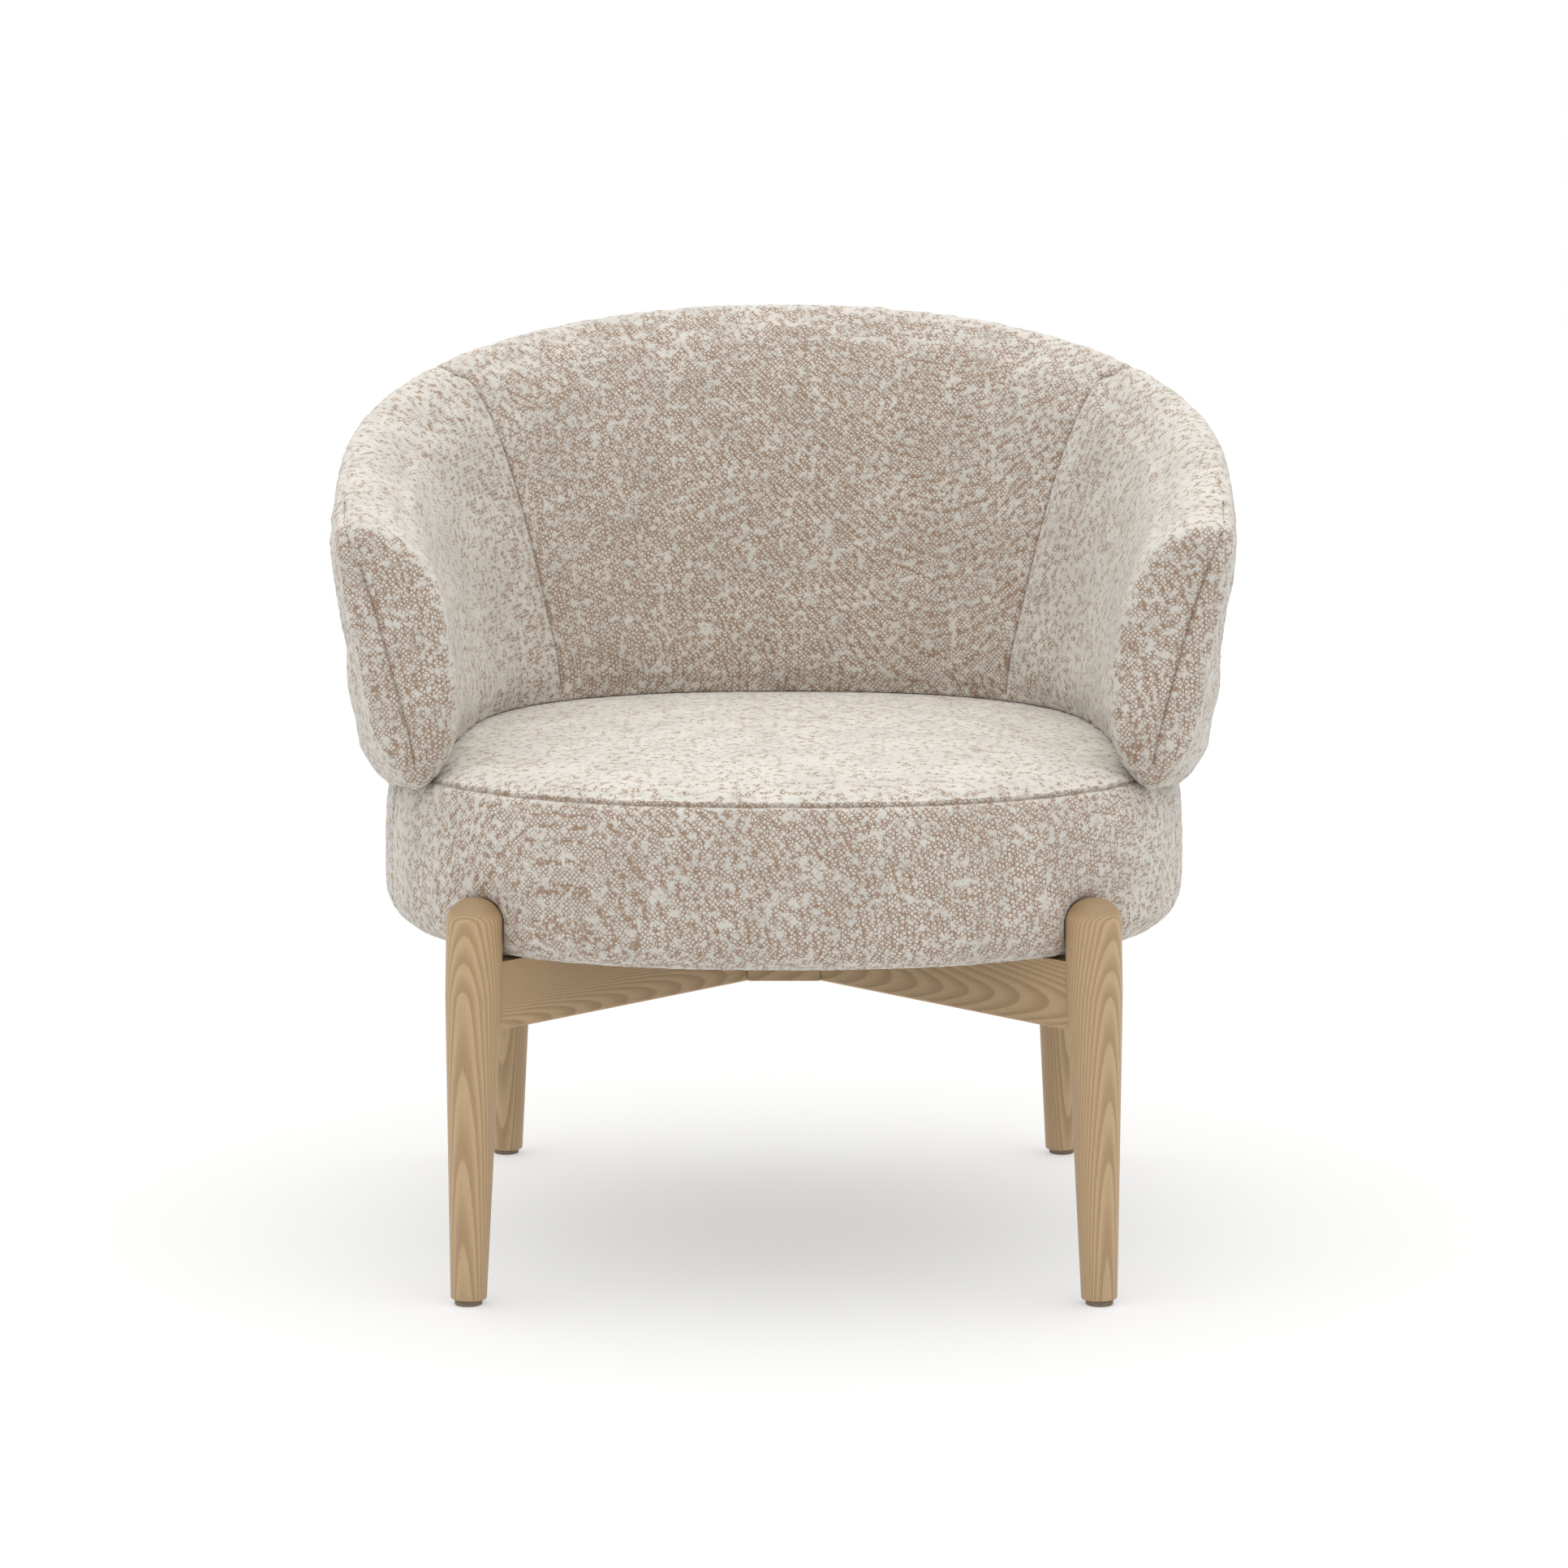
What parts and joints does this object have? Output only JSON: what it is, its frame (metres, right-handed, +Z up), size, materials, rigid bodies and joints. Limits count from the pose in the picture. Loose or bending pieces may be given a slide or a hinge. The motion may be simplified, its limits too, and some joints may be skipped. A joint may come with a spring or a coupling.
{
  "type": "upholstered armchair",
  "caption": "Low tub armchair with a wrap-round padded back and arms on a rounded-square cushioned seat, carried by round tapered wooden legs joined by crossing rails.",
  "frame": {"origin": "middle of the chair's footprint box, on the floor", "axes": "+Z up; -Y is the side that a sitter faces; +X is to the right of someone looking at the chair from the front"},
  "size_m": [0.7554, 0.7034, 0.7837],
  "materials": {
    "boucle": "cream boucle weave with a tan ground",
    "ash": "matte clear-oiled ash",
    "plywood": "raw beech plywood",
    "foam": "cold-cure polyurethane foam",
    "webbing": "elastic webbing",
    "lining": "black spun-bonded lining",
    "steel": "zinc plated",
    "glide": "grey-brown moulded plastic"
  },
  "bodies": {
    "root": {"leg_front_left": "ash", "glide_front_left": "glide", "leg_bolt_front_left": "steel", "barrel_nut_front_left": "steel", "seat_screw_front_left": "steel", "seat_frame_front_left": "plywood", "leg_front_right": "ash", "glide_front_right": "glide", "leg_bolt_front_right": "steel", "barrel_nut_front_right": "steel", "seat_screw_front_right": "steel", "seat_frame_front_right": "plywood", "leg_rear_left": "ash", "glide_rear_left": "glide", "leg_bolt_rear_left": "steel", "barrel_nut_rear_left": "steel", "seat_screw_rear_left": "steel", "seat_frame_rear_left": "plywood", "leg_rear_right": "ash", "glide_rear_right": "glide", "leg_bolt_rear_right": "steel", "barrel_nut_rear_right": "steel", "seat_screw_rear_right": "steel", "seat_frame_rear_right": "plywood", "cross_rail_lower": "ash", "cross_rail_upper": "ash", "corner_block_front": "ash", "corner_block_rear": "ash", "corner_block_left": "ash", "corner_block_right": "ash", "back_bracket_rear": "steel", "shell_bolt_rear": "steel", "frame_bolt_rear": "steel", "back_bracket_left": "steel", "shell_bolt_left": "steel", "frame_bolt_left": "steel", "back_bracket_right": "steel", "shell_bolt_right": "steel", "frame_bolt_right": "steel", "strap_across_1": "webbing", "strap_along_1": "webbing", "strap_across_2": "webbing", "strap_along_2": "webbing", "strap_across_3": "webbing", "strap_along_3": "webbing", "seat_foam": "foam", "back_foam": "foam", "arm_foam_left": "foam", "arm_foam_right": "foam", "back_shell": "plywood", "dust_cover": "lining", "seat_cover_top": "boucle", "seat_band_front": "boucle", "seat_band_rear": "boucle", "back_cover_inner": "boucle", "arm_cover_left": "boucle", "arm_cover_right": "boucle", "back_cover_outer": "boucle"}
  },
  "joints": []
}
